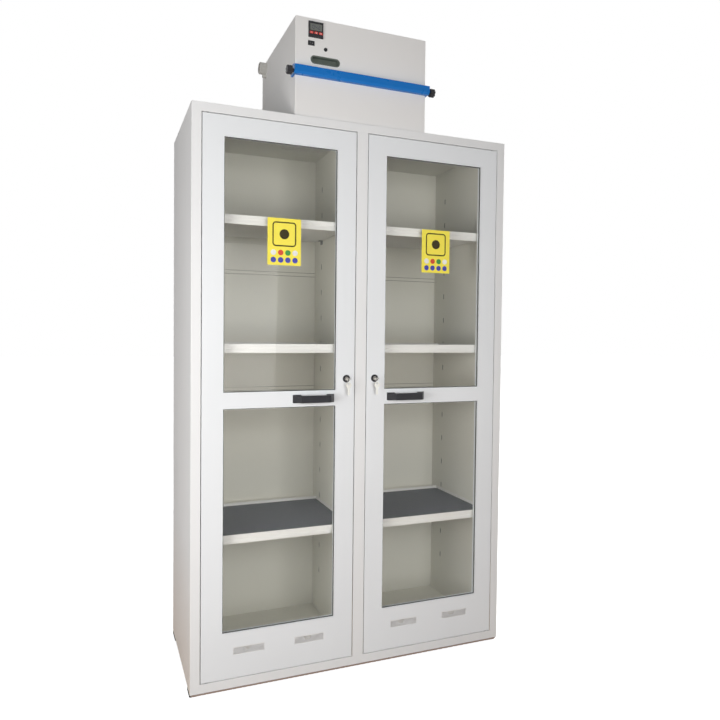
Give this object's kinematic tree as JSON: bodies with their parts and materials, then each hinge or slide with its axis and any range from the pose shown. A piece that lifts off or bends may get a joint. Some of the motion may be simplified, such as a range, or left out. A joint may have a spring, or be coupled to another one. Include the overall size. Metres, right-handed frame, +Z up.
{
  "type": "ventilated safety storage cabinet",
  "caption": "Tall steel safety storage cabinet with glazed double doors, tray shelves, key locks and a hinged fan and filter unit on the roof.",
  "frame": {"origin": "on the floor, under the centre of the object's outline (handles included)", "axes": "+X to the right along the front, +Y from the front to the back, +Z up"},
  "size_m": [1.194, 0.551, 2.305],
  "materials": {
    "cabinet_enamel": "satin powder coat, off-white",
    "liner_enamel": "matte powder coat, warm grey-white",
    "door_enamel": "satin powder coat, off-white",
    "shelf_enamel": "satin powder coat, off-white",
    "filter_enamel": "satin powder coat, cool white",
    "blue_enamel": "gloss blue coat",
    "base_steel": "matte brown-grey coat",
    "zinc_steel": "zinc plated",
    "lock_chrome": "polished",
    "black_plastic": "fine grain",
    "foot_rubber": "matte",
    "mat_rubber": "matte ribbed",
    "glass": "clear",
    "yellow_card": "satin film",
    "grey_plastic": "fine grain",
    "light_plastic": "fine grain",
    "red_key": "soft gloss",
    "display": "smooth lens",
    "carbon": "fibrous",
    "fan_alloy": "satin",
    "motor_steel": "matte"
  },
  "bodies": {
    "cabinet": {"side_panel_left": "cabinet_enamel", "side_panel_right": "cabinet_enamel", "side_liner_left": "liner_enamel", "side_liner_right": "liner_enamel", "back_liners": "liner_enamel", "top_panel": "cabinet_enamel", "ceiling_liner": "liner_enamel", "floor_panel": "liner_enamel", "back_panel": "cabinet_enamel", "partition": "liner_enamel", "front_top_rail": "cabinet_enamel", "front_bottom_rail": "cabinet_enamel", "centre_post": "cabinet_enamel", "door_pins": "zinc_steel", "feet": "foot_rubber", "base_strips": "base_steel", "shelves": "shelf_enamel", "shelf_mats": "mat_rubber", "shelf_clips": "zinc_steel", "filter_base": "filter_enamel", "filter_cassette": "carbon", "hood_hinges": "zinc_steel"},
    "door_left": {"door_skin_left": "door_enamel", "door_inner_panel_left": "door_enamel", "door_lower_glass_left": "glass", "door_upper_glass_left": "glass", "door_vent_grilles_left": "zinc_steel", "door_sign_card_left": "yellow_card", "door_handle_left": "black_plastic", "lock_case_left": "black_plastic"},
    "lock_left": {"lock_plug_left": "lock_chrome", "lock_key_left": "lock_chrome"},
    "key_ring_left": {"spare_key_left": "lock_chrome"},
    "door_right": {"door_skin_right": "door_enamel", "door_inner_panel_right": "door_enamel", "door_lower_glass_right": "glass", "door_upper_glass_right": "glass", "door_vent_grilles_right": "zinc_steel", "door_sign_card_right": "yellow_card", "door_handle_right": "black_plastic", "lock_case_right": "black_plastic"},
    "lock_right": {"lock_plug_right": "lock_chrome", "lock_key_right": "lock_chrome"},
    "key_ring_right": {"spare_key_right": "lock_chrome"},
    "hood": {"hood_casing": "filter_enamel", "fan_motor": "motor_steel", "controller_case": "black_plastic", "controller_display": "display", "switch_bezels": "black_plastic", "pull_cup": "grey_plastic", "clamp_bar": "blue_enamel", "power_inlet": "light_plastic"},
    "fan_wheel": {"fan_impeller": "fan_alloy"},
    "menu_key_left": {"controller_key_left": "red_key"},
    "menu_key_middle": {"controller_key_middle": "red_key"},
    "menu_key_right": {"controller_key_right": "red_key"},
    "power_rocker": {"rocker_switch": "black_plastic"},
    "test_button": {"push_button": "black_plastic"},
    "knob_left": {"knob_left": "black_plastic"},
    "knob_right": {"knob_right": "black_plastic"}
  },
  "joints": [
    {"name": "door_left_swing", "type": "hinge", "parent": "cabinet", "child": "door_left", "pos_m": [-0.544, -0.2295, 0.045], "axis": [0, 0, -1], "range_deg": [0, 110]},
    {"name": "lock_left_turn", "type": "hinge", "parent": "door_left", "child": "lock_left", "pos_m": [-0.0545, -0.2395, 1.057], "axis": [0, -1, 0], "range_deg": [0, 90]},
    {"name": "key_ring_left_swing", "type": "hinge", "parent": "lock_left", "child": "key_ring_left", "pos_m": [-0.0545, -0.2643, 1.057], "axis": [0, 1, 0], "range_deg": [-25, 25]},
    {"name": "door_right_swing", "type": "hinge", "parent": "cabinet", "child": "door_right", "pos_m": [0.544, -0.2295, 0.045], "axis": [0, 0, 1], "range_deg": [0, 110]},
    {"name": "lock_right_turn", "type": "hinge", "parent": "door_right", "child": "lock_right", "pos_m": [0.0545, -0.2395, 1.057], "axis": [0, 1, 0], "range_deg": [0, 90]},
    {"name": "key_ring_right_swing", "type": "hinge", "parent": "lock_right", "child": "key_ring_right", "pos_m": [0.0545, -0.2643, 1.057], "axis": [0, 1, 0], "range_deg": [-25, 25]},
    {"name": "hood_lift", "type": "hinge", "parent": "cabinet", "child": "hood", "pos_m": [0, 0.2565, 2.137], "axis": [-1, 0, 0], "range_deg": [0, 60]},
    {"name": "fan_spin", "type": "hinge", "parent": "hood", "child": "fan_wheel", "pos_m": [0, 0.0085, 2.2415], "axis": [0, 0, 1], "continuous": true},
    {"name": "menu_key_left_press", "type": "slide", "parent": "hood", "child": "menu_key_left", "axis": [0, 1, 0], "range_m": [0, 0.0012], "stiffness_N_per_m": 400},
    {"name": "menu_key_middle_press", "type": "slide", "parent": "hood", "child": "menu_key_middle", "axis": [0, 1, 0], "range_m": [0, 0.0012], "stiffness_N_per_m": 400},
    {"name": "menu_key_right_press", "type": "slide", "parent": "hood", "child": "menu_key_right", "axis": [0, 1, 0], "range_m": [0, 0.0012], "stiffness_N_per_m": 400},
    {"name": "power_rocker_tilt", "type": "hinge", "parent": "hood", "child": "power_rocker", "pos_m": [-0.1935, -0.2295, 2.219], "axis": [0, 0, -1], "range_deg": [0, 12]},
    {"name": "test_button_press", "type": "slide", "parent": "hood", "child": "test_button", "axis": [0, 1, 0], "range_m": [0, 0.002], "stiffness_N_per_m": 400},
    {"name": "knob_left_turn", "type": "hinge", "parent": "hood", "child": "knob_left", "pos_m": [-0.258, -0.24, 2.113], "axis": [-1, 0, 0], "continuous": true},
    {"name": "knob_right_turn", "type": "hinge", "parent": "hood", "child": "knob_right", "pos_m": [0.258, -0.24, 2.113], "axis": [1, 0, 0], "continuous": true}
  ]
}
